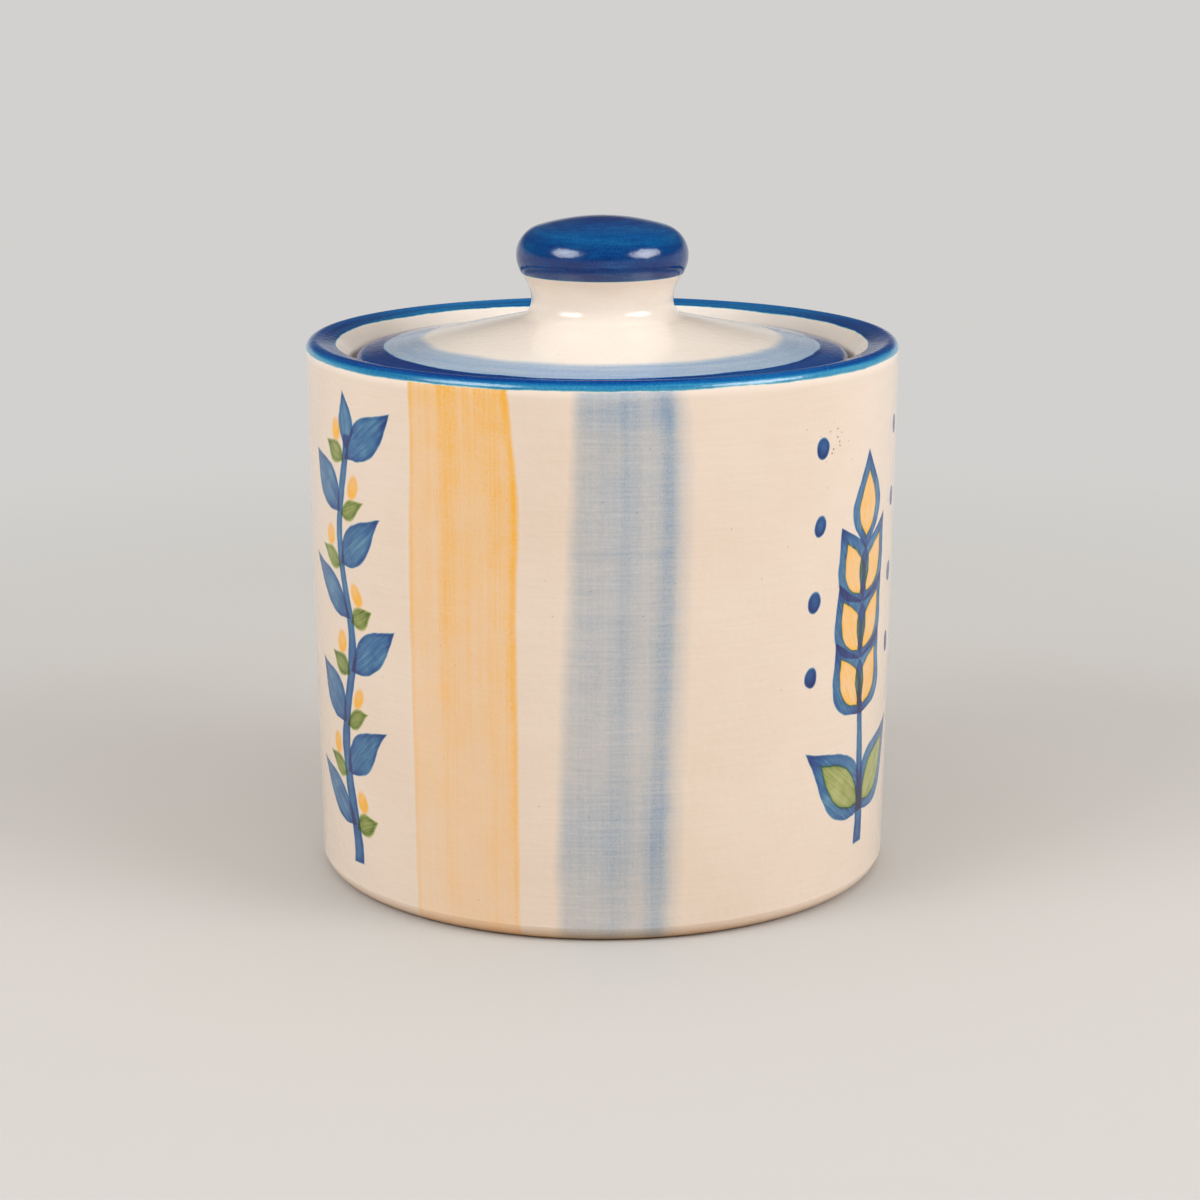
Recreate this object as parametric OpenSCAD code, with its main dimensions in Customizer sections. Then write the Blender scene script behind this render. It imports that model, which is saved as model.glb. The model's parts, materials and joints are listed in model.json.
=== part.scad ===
// Sugar canister in glazed stoneware: a round jar, a domed lid that drops into
// a recess inside the rim, and a turned knob fixed to the top of the lid.
// The jar stands on the plane z = 0 and its axis is the Z axis.

/* [Jar] */
// Height of the jar, to the crown of its rim
jar_h = 138.7; // [110:0.1:200]
// Width across the rim
rim_w = 152; // [140:0.5:180]
// Width across the bottom of the wall
base_w = 148.2; // [136:0.1:180]
// How far the wall swells out past a straight line
wall_swell = 0.2; // [0:0.05:1.5]
// Thickness of the wall
wall_t = 6.5; // [5:0.1:9]
// Thickness of the floor
floor_t = 6.5; // [4:0.1:12]
// Radius of the curve inside, from the floor to the wall
inside_round = 12; // [4:0.5:20]

/* [Foot] */
// Radius of the corner where the wall turns under
base_round = 4.5; // [2:0.1:7]
// Width of the ring that the jar stands on
foot_t = 8; // [5:0.1:14]
// Depth of the hollow inside that ring
foot_h = 1.8; // [0.8:0.1:4]
// Radius of the edge and the corner of that hollow
foot_edge = 0.7; // [0.2:0.05:0.8]

/* [Rim and lid seat] */
// Radius of the outer edge of the rim
rim_round = 2.4; // [1:0.1:3]
// Width of the top face of the rim
rim_t = 7.7; // [6:0.1:10]
// Slope of the top face towards the inside, in degrees
rim_slope = 14; // [5:1:20]
// Radius of the inner edge of the rim
lip_round = 2.2; // [0.5:0.1:2.8]
// How far the recess flares outwards at its top
flare_w = 3.5; // [2:0.1:5]
// Height of that flare
flare_h = 3.9; // [3:0.1:4.5]
// Radius where the flare meets the wall of the recess
flare_round = 2.5; // [1:0.1:4]
// Depth of the lid seat below the crown of the rim
seat_depth = 9.7; // [9:0.1:16]
// Width of the lid seat
seat_t = 6.8; // [5:0.1:9]
// Radius of the corner at the back of the seat
seat_corner = 1; // [0.4:0.1:1.2]
// Radius of the edge at the front of the seat
seat_edge = 1.2; // [0.4:0.1:2]
// Height of the straight wall below the seat
throat_h = 6; // [4:0.1:12]
// Slope of the underside of the seat, in degrees
throat_slope = 45; // [30:1:55]
// Radius of the soft corners below the seat
throat_round = 4; // [1:0.1:5]

/* [Lid] */
// Gap between the edge of the lid and the wall of the recess
lid_gap = 1.4; // [0.5:0.1:2]
// Height of the lid's corner above the seat, before its edge is rounded
lid_edge_h = 5.8; // [5.2:0.1:9]
// Radius of the upper edge of the lid
lid_round = 3; // [1:0.1:4]
// Radius of the lower edge of the lid
lid_heel = 1.2; // [0.4:0.1:2]
// Slope of the top of the lid, in degrees
dome_slope = 11.8; // [6:0.1:18]
// How far the top of the lid dips below a straight cone
dome_dip = 0.25; // [0:0.05:1]
// Thickness of the lid
lid_t = 6.5; // [5:0.1:7.5]
// Gap between the ring under the lid and the throat of the jar
ring_gap = 1.2; // [0.5:0.1:2]
// Thickness of the ring under the lid
ring_t = 5.2; // [4:0.1:7]
// Height of the ring below the seat
ring_h = 8; // [5:0.1:14]
// Radius of the edges of the ring
ring_edge = 1.6; // [0.5:0.1:1.9]
// Radius where the ring meets the underside of the lid
ring_fillet = 4; // [1:0.1:6]

/* [Knob] */
// Width of the head of the knob
knob_w = 44.3; // [40:0.1:60]
// Height of the knob above the lid
knob_h = 25.7; // [24:0.1:40]
// Depth of the widest part of the head below its top
belly_h = 9.9; // [8.8:0.1:11]
// Radius of the upper curve of the head
head_round = 7.8; // [4:0.1:8]
// Radius of the lower curve of the head
under_round = 8.7; // [5:0.1:9]
// Width of the neck
neck_w = 36.5; // [26:0.1:39]
// Radius of the hollow curve below the head
neck_round = 10; // [4:0.1:11]
// Radius of the fillet at the foot of the neck
neck_fillet = 4.2; // [1:0.1:6]

/* [Hidden] */
$fn = 180;

// Largest turn and largest length of one step along an arc
STEP_DEG = 7;
STEP_MM = 1.6;
// Steps along a long, nearly straight curve
BOW_STEPS = 12;

// Jar
rim_r = rim_w / 2;
base_r = base_w / 2;
floor_z = foot_h + floor_t;
foot_r = base_r - base_round - foot_t;
lip_r = rim_r - rim_t;
// The sharp corner of the rim stands above the crown that its rounding leaves
rim_z = jar_h + rim_round * (tan(rim_slope) + 1 / cos(rim_slope) - 1);
lip_z = rim_z - rim_t * tan(rim_slope);

// Lid seat inside the rim
seat_r = lip_r - flare_w;
seat_z = jar_h - seat_depth;
throat_r = seat_r - seat_t;
throat_z = seat_z - throat_h;
lean = (rim_r - base_r) / rim_z;
under_z = throat_z - (rim_r - wall_t - throat_r) * tan(throat_slope);

// Lid
lid_r = seat_r - lid_gap;
ring_r = throat_r - ring_gap;
ring_in_r = ring_r - ring_t;
edge_z = seat_z + lid_edge_h;

// Knob, with heights taken from its foot on the lid
head_r = knob_w / 2;
neck_r = neck_w / 2;
belly_z = knob_h - belly_h;
top_arc = min(head_round, belly_h - 0.5);
// The arc over the top is tangent to the upper curve of the head
crown_r = (pow(belly_h, 2) + pow(head_r - top_arc, 2) - pow(top_arc, 2)) / (2 * (belly_h - top_arc));
// The hollow curve of the neck is tangent to the lower curve of the head
neck_reach = neck_r + neck_round - (head_r - under_round);
neck_drop = sqrt(pow(under_round + neck_round, 2) - pow(neck_reach, 2));
neck_z = belly_z - neck_drop;
neck_foot = min(neck_fillet, neck_z / cos(dome_slope));
knob_foot_r = neck_r + neck_foot * (1 - sin(dome_slope));

// The lid rises from its edge to the foot of the knob
knob_z = edge_z + (lid_r - knob_foot_r) * tan(dome_slope);

// Inner face of the wall, which leans as the outer face does
function inner_r(z) = base_r - wall_t + lean * z;

// Height of the top of the lid at radius r
function top_z(r) = edge_z + (lid_r - r) * tan(dome_slope);

// Points along an arc of radius r about c, from angle a to angle b
function arc(c, r, a, b) =
    let (n = max(2, ceil(abs(b - a) / STEP_DEG), ceil(abs(b - a) * r * PI / 180 / STEP_MM)))
    [for (i = [0:n]) c + r * [cos(a + (b - a) * i / n), sin(a + (b - a) * i / n)]];

// Corner q between p and s, rounded to radius r
function rounded(p, q, s, r) =
    let (
        u = (p - q) / norm(p - q),
        v = (s - q) / norm(s - q),
        half = acos(u * v) / 2,
        c = q + (u + v) / norm(u + v) * r / sin(half),
        t = q + u * r / tan(half) - c,
        w = q + v * r / tan(half) - c,
        a = atan2(t[1], t[0]),
        b = atan2(w[1], w[0]),
        turn = b - a > 180 ? b - a - 360 : (b - a < -180 ? b - a + 360 : b - a)
    )
    arc(c, r, a, a + turn);

// Outline through corners [radius, height, rounding], with each corner rounded
function outline(corners) = [
    for (i = [0:len(corners) - 1])
        let (
            n = len(corners),
            q = corners[i],
            p = corners[(i + n - 1) % n],
            s = corners[(i + 1) % n]
        )
        each q[2] > 0
            ? rounded([p[0], p[1]], [q[0], q[1]], [s[0], s[1]], q[2])
            : [[q[0], q[1]]]
];

// Points between p and q, pushed sideways by as much as side in the middle
function bow(p, q, side) =
    let (d = (q - p) / norm(q - p))
    [
        for (i = [1:BOW_STEPS - 1])
            let (t = i / BOW_STEPS)
            p + (q - p) * t + 4 * side * t * (1 - t) * [d[1], -d[0]]
    ];

// Bowed points as corners that stay sharp
function sharp(points) = [for (p = points) [p[0], p[1], 0]];

// Wall, floor, foot ring, rim and lid seat, turned in one piece
module jar() {
    wall_foot = [base_r, 0];
    wall_top = [rim_r, rim_z];
    corners = [
        [0, foot_h, 0],
        [foot_r, foot_h, foot_edge],
        [foot_r + foot_h / 2, 0, foot_edge],
        [wall_foot[0], wall_foot[1], base_round],
        each sharp(bow(wall_foot, wall_top, wall_swell)),
        [wall_top[0], wall_top[1], rim_round],
        [lip_r, lip_z, lip_round],
        [seat_r, lip_z - flare_h, flare_round],
        [seat_r, seat_z, seat_corner],
        [throat_r, seat_z, seat_edge],
        [throat_r, throat_z, throat_round],
        [inner_r(under_z), under_z, throat_round],
        [inner_r(floor_z), floor_z, inside_round],
        [0, floor_z, 0],
    ];
    color("#efe2cd")
        rotate_extrude()
            polygon(outline(corners));
}

// Domed plate with a ring below that keeps it centred in the throat
module lid() {
    edge = [lid_r, edge_z];
    landing = [knob_foot_r, knob_z];
    corners = [
        [0, knob_z - lid_t, 0],
        [knob_foot_r, knob_z - lid_t, 0],
        [ring_in_r, top_z(ring_in_r) - lid_t, ring_fillet],
        [ring_in_r, seat_z - ring_h, ring_edge],
        [ring_r, seat_z - ring_h, ring_edge],
        [ring_r, seat_z, 0],
        [lid_r, seat_z, lid_heel],
        [edge[0], edge[1], lid_round],
        each sharp(bow(edge, landing, -dome_dip)),
        [landing[0], landing[1], 0],
        [0, knob_z, 0],
    ];
    color("#e3dfd6")
        rotate_extrude()
            polygon(outline(corners));
}

// Turned knob: a fillet at its foot, a neck, and a rounded head
module knob() {
    fillet = arc([neck_r + neck_foot, neck_foot * cos(dome_slope)], neck_foot, 270 - dome_slope, 180);
    hollow_end = atan2(neck_drop, -neck_reach);
    hollow = arc([neck_r + neck_round, neck_z], neck_round, 180, hollow_end);
    under = arc([head_r - under_round, belly_z], under_round, hollow_end - 180, 0);
    crown_end = atan2(belly_z - knob_h + crown_r, head_r - top_arc);
    upper = arc([head_r - top_arc, belly_z], top_arc, 0, crown_end);
    crown = arc([0, knob_h - crown_r], crown_r, crown_end, 90);
    color("#1f4f8a")
        translate([0, 0, knob_z])
            rotate_extrude()
                polygon([[0, 0], each fillet, each hollow, each under, each upper, each crown]);
}

jar();
lid();
knob();
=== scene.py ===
# %% [markdown]
# # A painted stoneware canister
# The real canister is pottery: a jar, a domed lid and a knob, turned from clay, painted with a brush
# while the clay was bare, and fired under one coat of clear glaze. This lesson dresses the three solids
# of the CAD model with that surface. It turns each piece again as a fine mesh with the marks of a hand,
# mixes the paint from thin washes as the painter did, and lights the result softly.

import json
import math

import bmesh
import bpy
import numpy as np
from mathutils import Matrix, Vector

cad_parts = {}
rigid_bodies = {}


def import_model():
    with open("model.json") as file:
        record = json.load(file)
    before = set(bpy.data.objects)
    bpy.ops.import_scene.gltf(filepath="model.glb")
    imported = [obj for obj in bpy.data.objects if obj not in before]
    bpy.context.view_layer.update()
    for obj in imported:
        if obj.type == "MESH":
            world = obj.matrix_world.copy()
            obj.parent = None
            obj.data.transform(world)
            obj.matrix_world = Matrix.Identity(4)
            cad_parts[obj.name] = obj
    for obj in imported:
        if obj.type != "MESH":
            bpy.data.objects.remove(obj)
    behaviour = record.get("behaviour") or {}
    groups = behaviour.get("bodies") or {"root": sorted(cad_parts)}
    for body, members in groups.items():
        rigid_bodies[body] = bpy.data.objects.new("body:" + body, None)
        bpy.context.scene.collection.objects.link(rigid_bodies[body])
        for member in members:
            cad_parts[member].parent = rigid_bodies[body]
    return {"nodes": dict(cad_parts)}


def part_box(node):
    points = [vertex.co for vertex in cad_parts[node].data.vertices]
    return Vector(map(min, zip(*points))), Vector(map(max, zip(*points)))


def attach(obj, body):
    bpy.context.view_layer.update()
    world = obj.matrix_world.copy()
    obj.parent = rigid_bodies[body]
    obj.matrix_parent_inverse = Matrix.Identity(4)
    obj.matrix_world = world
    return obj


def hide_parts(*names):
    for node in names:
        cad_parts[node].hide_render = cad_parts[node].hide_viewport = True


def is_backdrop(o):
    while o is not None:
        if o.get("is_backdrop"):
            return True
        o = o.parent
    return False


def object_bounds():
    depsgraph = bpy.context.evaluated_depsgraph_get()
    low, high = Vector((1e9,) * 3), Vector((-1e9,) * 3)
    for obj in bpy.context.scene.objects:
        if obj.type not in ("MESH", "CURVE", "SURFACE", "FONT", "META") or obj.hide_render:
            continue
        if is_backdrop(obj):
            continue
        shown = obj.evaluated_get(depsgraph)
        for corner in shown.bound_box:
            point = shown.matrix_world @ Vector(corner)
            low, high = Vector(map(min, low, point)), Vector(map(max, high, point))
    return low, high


for leftover in list(bpy.data.objects):
    bpy.data.objects.remove(leftover)
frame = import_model()
cad_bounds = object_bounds()
MM = 0.001
print("pieces of the frame:", ", ".join(frame["nodes"]))

# %% [markdown]
# ## Sizes that the paint lines up with
# The blue bands follow the shape of the pot: the rim, the edge of the lid, the head of the knob. Their
# places are worked out from the boxes of the solids, so that a taller jar still has its rim blue. The lid
# rests on its seat a little above its lowest edge, which is that of the ring that centres it.

# %% Sizes from the frame
jar_low, jar_high = (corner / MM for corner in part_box("jar"))
lid_low, lid_high = (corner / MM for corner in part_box("lid"))
knob_low, knob_high = (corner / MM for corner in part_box("knob"))
JAR_H, RIM_R = jar_high.z, jar_high.x
LID_R = lid_high.x
RING_H = 8
SEAT = lid_low.z + RING_H
print(f"jar {2 * RIM_R:.1f} mm wide and {JAR_H:.1f} mm high, {knob_high.z:.1f} mm high with its lid")

# %% [markdown]
# ## Camera
# The photograph was taken from a little above the rim and from about five jar widths away. That is why
# the far side of the rim shows, and why the jar looks slightly narrower at its foot. The lens is long, so
# the jar fills half of the square picture from that distance.

# %% Camera at the photograph's angle
CAMERA_BACK = 758.3
CAMERA_UP = 249.6
CAMERA_SIDE = -0.6
CAMERA_DIP = 13.43
FOCAL = 89.05
SENSOR = 36

camera = bpy.data.objects.new("camera", bpy.data.cameras.new("camera"))
camera.data.lens = FOCAL
camera.data.sensor_width = SENSOR
camera.data.clip_start = 0.05
camera.location = (CAMERA_SIDE * MM, -CAMERA_BACK * MM, CAMERA_UP * MM)
camera.rotation_euler = (math.radians(90 - CAMERA_DIP), 0, 0)
bpy.context.scene.collection.objects.link(camera)
bpy.context.scene.camera = camera
bpy.context.scene.view_settings.view_transform = "Standard"
print("the camera looks down by", CAMERA_DIP, "degrees")

# %% [markdown]
# ## Colours and nodes
# Colours are written as the hex values that a paint program shows. Shaders work with linear light, so one
# function turns the first into the second. A second small class holds a material while it is built, with
# one function that adds a node, sets it and links it. Everything painted below is made of such nodes.


# %% One function for colours, one for nodes
def linear(code):
    """Returns the linear red, green, blue and alpha of a colour written as #RRGGBB."""
    levels = [int(code[i : i + 2], 16) / 255 for i in (1, 3, 5)]
    return [c / 12.92 if c <= 0.04045 else ((c + 0.055) / 1.055) ** 2.4 for c in levels] + [1]


class Finish:
    """The nodes of a material, of a lamp or of the sky, while they are put together."""

    def __init__(self, owner):
        owner.use_nodes = True
        self.owner = owner
        self.tree = owner.node_tree
        self.tree.nodes.clear()

    def add(self, kind, inputs=(), curve=(), **settings):
        """Adds a node, such as "Mix" or "Math ADD". Its inputs are numbers, colours, sockets or nodes, listed
        in order or by name."""
        kind, _, operation = kind.partition(" ")
        node = self.tree.nodes.new("ShaderNode" + kind)
        if operation:
            node.operation = operation
        for name, value in settings.items():
            setattr(node, name, value)
        if curve:
            line = node.mapping.curves[0].points
            for _ in curve[2:]:
                line.new(0, 0)
            for point, place in zip(line, curve):
                point.location = place
            node.mapping.update()
        by_name = isinstance(inputs, dict)
        sockets = node.inputs if by_name else [s for s in node.inputs if s.enabled]
        for key, value in inputs.items() if by_name else enumerate(inputs):
            if isinstance(value, bpy.types.Node):
                value = next(s for s in value.outputs if s.enabled)
            if isinstance(value, bpy.types.NodeSocket):
                self.tree.links.new(value, sockets[key])
            elif value is not None:
                sockets[key].default_value = value
        return node


print("cream in linear light:", [round(c, 3) for c in linear("#EEDDCC")])

# %% [markdown]
# ## Studio
# A potter's catalogue shows a pot on a wide sheet of pale grey paper. The paper is real near the pot, so
# that it takes the light and the shadow. Further out it fades into one even grey, the same as the backdrop
# at the horizon, so that no view has an edge there. Only rays that show the background see that grey, and
# they see the paper in that grey too: what the pot gets back from below is a warmer light.

# %% Floor that fades into the background
FLOOR_R = 4.0
FLOOR_SIDES = 128
PAPER_FROM, PAPER_TO = 0.14, 0.62
PAPER_LIT = linear("#AD8B61")
PAPER_SEEN = linear("#BDBBB8")
BACKGROUND = linear("#D2D1CF")


def shows_background(finish):
    """1 for a ray from the camera, or one that a gloss or a glass sends on, and 0 for a ray that lights."""
    path = finish.add("LightPath").outputs
    seen = finish.add("Math ADD", [path["Is Camera Ray"], path["Is Glossy Ray"]])
    return finish.add("Math ADD", [seen, path["Is Transmission Ray"]], use_clamp=True)


sheet = bmesh.new()
bmesh.ops.create_circle(sheet, cap_ends=True, radius=FLOOR_R, segments=FLOOR_SIDES)
floor = bpy.data.objects.new("floor", bpy.data.meshes.new("floor"))
sheet.to_mesh(floor.data)
sheet.free()
bpy.context.scene.collection.objects.link(floor)
floor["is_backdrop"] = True

paper = Finish(bpy.data.materials.new("studio_paper"))
place = paper.add("TexCoord").outputs["Object"]
away = paper.add("VectorMath LENGTH", [place]).outputs["Value"]
far = paper.add("MapRange", [away, PAPER_FROM, PAPER_TO, 0, 1], interpolation_type="SMOOTHSTEP")
seen = shows_background(paper)
fading = paper.add("Math MULTIPLY", [far, seen])
grey = paper.add("Mix", [seen, PAPER_LIT, PAPER_SEEN], data_type="RGBA")
sheet_of_paper = paper.add("BsdfDiffuse", {"Color": grey})
even_grey = paper.add("Emission", {"Color": BACKGROUND, "Strength": 1})
paper.add("OutputMaterial", [paper.add("MixShader", [fading, sheet_of_paper, even_grey])])
floor.data.materials.append(paper.owner)
print("floor", 2 * FLOOR_R, "m across")

# %% [markdown]
# ## Light
# Two pale spots on the knob show how the pot was lit: one soft box on the left and one on the right, both
# in front of the pot and higher than the camera. Each spot is brightest in its middle, as the cloth of a
# soft box is in front of its flash tube, so the lamps glow less towards their edges.

# %% Two soft boxes
LAMP_AWAY = 1.25
AIM_HEIGHT = 90 * MM
LAMPS = {
    "soft_box_left": {"around": -54, "up": 31, "wide": 1.45, "high": 1.05, "watts": 8.7},
    "soft_box_right": {"around": 63, "up": 27, "wide": 1.5, "high": 1.05, "watts": 10.3},
}
CLOTH_MIDDLE = (0.5, 0.5, 0)
BRIGHTEST = 4.67
GLOW_OUTWARDS = [
    (0, 1), (0.08, 0.96), (0.15, 0.8), (0.25, 0.66), (0.29, 0.34),
    (0.33, 0.08), (0.4, 0.01), (0.5, 0), (1, 0),
]

for name, lamp in LAMPS.items():
    light = bpy.data.lights.new(name, "AREA")
    light.shape = "RECTANGLE"
    light.size = lamp["wide"]
    light.size_y = lamp["high"]
    light.energy = lamp["watts"]
    cloth = Finish(light)
    spot = cloth.add("NewGeometry").outputs["Parametric"]
    off = cloth.add("VectorMath DISTANCE", [spot, CLOTH_MIDDLE]).outputs["Value"]
    glow = cloth.add("FloatCurve", {"Value": off}, curve=GLOW_OUTWARDS)
    glow = cloth.add("MapRange", [glow, 0, 1, 0, BRIGHTEST])
    cloth.add("OutputLight", [cloth.add("Emission", {"Strength": glow})])
    around, up = math.radians(lamp["around"]), math.radians(lamp["up"])
    box = bpy.data.objects.new(name, light)
    out = LAMP_AWAY * math.cos(up)
    box.location = (out * math.sin(around), -out * math.cos(around), AIM_HEIGHT + LAMP_AWAY * math.sin(up))
    box.rotation_euler = (math.pi / 2 - up, 0, around)
    bpy.context.scene.collection.objects.link(box)
print(len(LAMPS), "soft boxes", LAMP_AWAY, "m away")

# %% [markdown]
# The top of the lid is the brightest part, so more light comes from above: the sky gives it, with most of
# it overhead. The camera and the gloss see something else in its place, the even grey of the backdrop at
# the horizon and a dark studio ceiling above it. All the light together is set so that a cream wall
# facing the camera renders in about the cream it is written in.

# %% A sky that is bright overhead
SKY_LOW, SKY_HIGH = 0.28, 1.05
SKYLIGHT = linear("#FFFAF4")
CEILING = linear("#4C4A49")
CEILING_FROM = 0.22

bpy.context.scene.world = bpy.data.worlds.new("sky")
sky = Finish(bpy.context.scene.world)
upwards = sky.add("SeparateXYZ", [sky.add("TexCoord").outputs["Generated"]]).outputs["Z"]
strength = sky.add("MapRange", [upwards, 0, 1, SKY_LOW, SKY_HIGH])
overhead = sky.add("Background", {"Color": SKYLIGHT, "Strength": strength})
above = sky.add("MapRange", [upwards, 0, CEILING_FROM, 0, 1], interpolation_type="SMOOTHSTEP")
backdrop = sky.add("Mix", [above, BACKGROUND, CEILING], data_type="RGBA")
behind = sky.add("Background", {"Color": backdrop, "Strength": 1})
sky.add("OutputWorld", [sky.add("MixShader", [shows_background(sky), overhead, behind])])
print("the sky is", round(SKY_HIGH / SKY_LOW, 1), "times as bright overhead as at the horizon")

# %% [markdown]
# ## Reading the outline of a turned piece
# A pot turned on a wheel is one outline swept round an axis. Cutting the solid through its axis shows that
# outline, so the mesh of each CAD node is cut by two planes, and the edges on one side of the cut are
# followed from the axis round and back to it. The fine mesh then agrees with the solid at any size.

# %% Outline of a CAD node
NEAR = 1e-6


def cut_outline(node):
    """Returns the radius and height of each outline point in mm, from the axis below to the axis above."""
    mesh = bmesh.new()
    mesh.from_mesh(frame["nodes"][node].data)
    bmesh.ops.remove_doubles(mesh, verts=mesh.verts, dist=NEAR)
    for across in ((1, 0, 0), (0, 1, 0)):
        parts = mesh.verts[:] + mesh.edges[:] + mesh.faces[:]
        bmesh.ops.bisect_plane(mesh, geom=parts, plane_co=(0, 0, 0), plane_no=across, dist=NEAR)
    links = {}
    for edge in mesh.edges:
        here, there = ((round(v.co.x / MM, 3), round(v.co.z / MM, 3)) for v in edge.verts)
        if here != there and all(abs(v.co.y) < NEAR and v.co.x > -NEAR for v in edge.verts):
            links.setdefault(here, set()).add(there)
            links.setdefault(there, set()).add(here)
    mesh.free()
    path = [min((p for p in links if p[0] == 0), key=lambda p: p[1])]
    while len(path) < 2 or path[-1][0] > 0:
        path.append(next(p for p in links[path[-1]] if p not in path[-2:]))
    return np.array(path)


for node in frame["nodes"]:
    print(node, "has an outline of", len(cut_outline(node)), "points")

# %% [markdown]
# The points lie a few degrees apart on each curve. Joined by straight lines they would show as facets in
# the gloss, so the outline is drawn again as a smooth curve through them, with a point every millimetre or
# so. Where the outline turns by more than ten degrees at once it has a real corner, which stays sharp.

# %% Smooth outline
CORNER = math.radians(10)
STEPS = {"jar": 1.8, "lid": 1.2, "knob": 0.8}


def fine_outline(points, step):
    """Returns the outline with points at most step mm apart, on curves that keep its true corners."""
    ahead = np.diff(points, axis=0)
    spans = np.hypot(*ahead.T)
    aims = ahead / spans[:, None]
    fine = [points[0]]
    for i, span in enumerate(spans):
        start, stop = points[i], points[i + 1]
        slopes = []
        for j in (i - 1, i + 1):
            smooth = 0 <= j < len(spans) and aims[i] @ aims[j] > math.cos(CORNER)
            slope = aims[i] * span**2 + aims[j] * spans[j] ** 2 if smooth else aims[i]
            slopes.append(slope / np.hypot(*slope) * span)
        parts = math.ceil(span / step)
        for t in np.arange(1, parts + 1) / parts:
            fine.append(
                start * (2 * t**3 - 3 * t**2 + 1) + slopes[0] * (t**3 - 2 * t**2 + t)
                + stop * (3 * t**2 - 2 * t**3) + slopes[1] * (t**3 - t**2)
            )
    return np.array(fine)


for node, step in STEPS.items():
    print(node, "has a finer outline of", len(fine_outline(cut_outline(node), step)), "points")

# %% [markdown]
# ## Turning the pieces
# A lathe in mesh code: the outline is copied round the axis and neighbouring points are joined by faces.
# A potter's hands leave the pot slightly out of round, with shallow waves up the wall and deeper finger
# grooves inside. Those marks are real shape, so they move the points along the outline's own normal, the
# waves by about the thickness of a sheet of paper and the grooves by three. They fade out towards the
# axis, where the points crowd, and where two pieces touch.

# %% Outline swept round the axis
SIDES = 240
POLE_R = 10


def swept(profile, marks):
    """Sweeps an outline round the axis, and returns the places of its points in metres, ring by ring.

    marks gives how far each point moves outwards in mm, from its radius, height and angle.
    """
    ahead = np.gradient(profile, axis=0)
    normals = np.stack([ahead[:, 1], -ahead[:, 0]], 1) / np.hypot(*ahead.T)[:, None]
    angles = np.radians(np.arange(SIDES) * 360 / SIDES - 90)
    r, z, angle = profile[:, :1], profile[:, 1:], angles[None, :]
    pushed = marks(r, z, angle) * np.minimum(r / POLE_R, 1)
    reach, level = r + pushed * normals[:, :1], z + pushed * normals[:, 1:]
    return np.stack([reach * np.sin(angle), -reach * np.cos(angle), level], 2) * MM


print("each ring has", SIDES, "points,", round(2 * math.pi * RIM_R / SIDES, 1), "mm apart on the rim")

# %% [markdown]
# A painted pot may need its colours as a picture later, so its surface is laid out flat as it is turned.
# The outline is cut into stretches, and each is laid down as one or two strips around the pot, one above
# the other, with a narrow gutter between them.

# %% A lathe that also lays the surface flat
GUTTER = 0.002


def stretch_at(middle, stretches):
    """Returns the stretch that middle lies in, with its start on the outline and in the flat layout."""
    start, below = 0, 0
    for stop, parts, share in stretches:
        if middle < stop:
            return start, stop, parts, below, share
        start, below = stop, below + share


def turn(name, marks, stretches):
    """Makes a piece from the outline of its CAD node.

    stretches lists, from below to above, how far along the outline each stretch reaches in mm, into how
    many parts around it is cut, and its share of the flat layout.
    """
    profile = fine_outline(cut_outline(name), STEPS[name])
    grid = swept(profile, marks)
    mesh = bmesh.new()
    poles = [mesh.verts.new(grid[i, 0]) for i in (0, -1)]
    rings = [[mesh.verts.new(p) for p in ring] for ring in grid[1:-1]]
    rings = [[poles[0]] * SIDES] + rings + [[poles[1]] * SIDES]
    flat = mesh.loops.layers.uv.new("OFBake")
    length = np.concatenate([[0], np.cumsum(np.hypot(*np.diff(profile, axis=0).T))])
    for i in range(len(rings) - 1):
        start, stop, parts, below, share = stretch_at((length[i] + length[i + 1]) / 2, stretches)
        for j in range(SIDES):
            corners = [(i, j), (i, j + 1), (i + 1, j + 1), (i + 1, j)]
            if i == 0:
                corners.pop(1)
            if i == len(rings) - 2:
                corners.pop(2)
            face = mesh.faces.new([rings[row][column % SIDES] for row, column in corners])
            face.smooth = True
            part = j * parts // SIDES
            for loop, (row, column) in zip(face.loops, corners):
                across = column * parts / SIDES - part
                up = (length[row] - start) / (min(stop, length[-1]) - start)
                u = GUTTER + (1 - 2 * GUTTER) * across
                v = below + share / parts * (part + 2 * GUTTER + (1 - 4 * GUTTER) * up)
                loop[flat].uv = (u, v)
    piece = bpy.data.objects.new(name + "_turned", bpy.data.meshes.new(name + "_turned"))
    mesh.to_mesh(piece.data)
    mesh.free()
    piece.data.set_sharp_from_angle(angle=CORNER)
    bpy.context.scene.collection.objects.link(piece)
    print(f"{piece.name}: {len(piece.data.polygons)} faces, outline {length[-1]:.0f} mm long")
    return piece


# %% [markdown]
# Each piece gets its own marks. The jar's wall carries slow waves from the last pull of the clay and its
# inside a spiral of finger grooves, 7 mm apart. Under its floor are the rings that the trimming tool cut.

# %% Marks of the potter's hands and tool
SLOW_WAVE, QUICK_WAVE = 9.1, 4.3
WAVE_DEPTH, OVAL_DEPTH = 0.022, 0.02
INSIDE_R = RIM_R - 9
INSIDE_LOW, INSIDE_HIGH = jar_low.z + 10, JAR_H - 20
FINGER_PITCH, FINGER_DEPTH = 7, 0.32
HOLLOW_R, HOLLOW_HIGH = RIM_R - 16, 3
TRIM_WIDTH, TRIM_DEPTH = 0.9, 0.1
WALL_FROM = 4
LID_TOP_FROM, LID_TOP_FADE = lid_low.z + 12, 4
KNOB_FOOT_FADE = 3
NECK_FROM, NECK_FADE = knob_low.z + 3, 5


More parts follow.
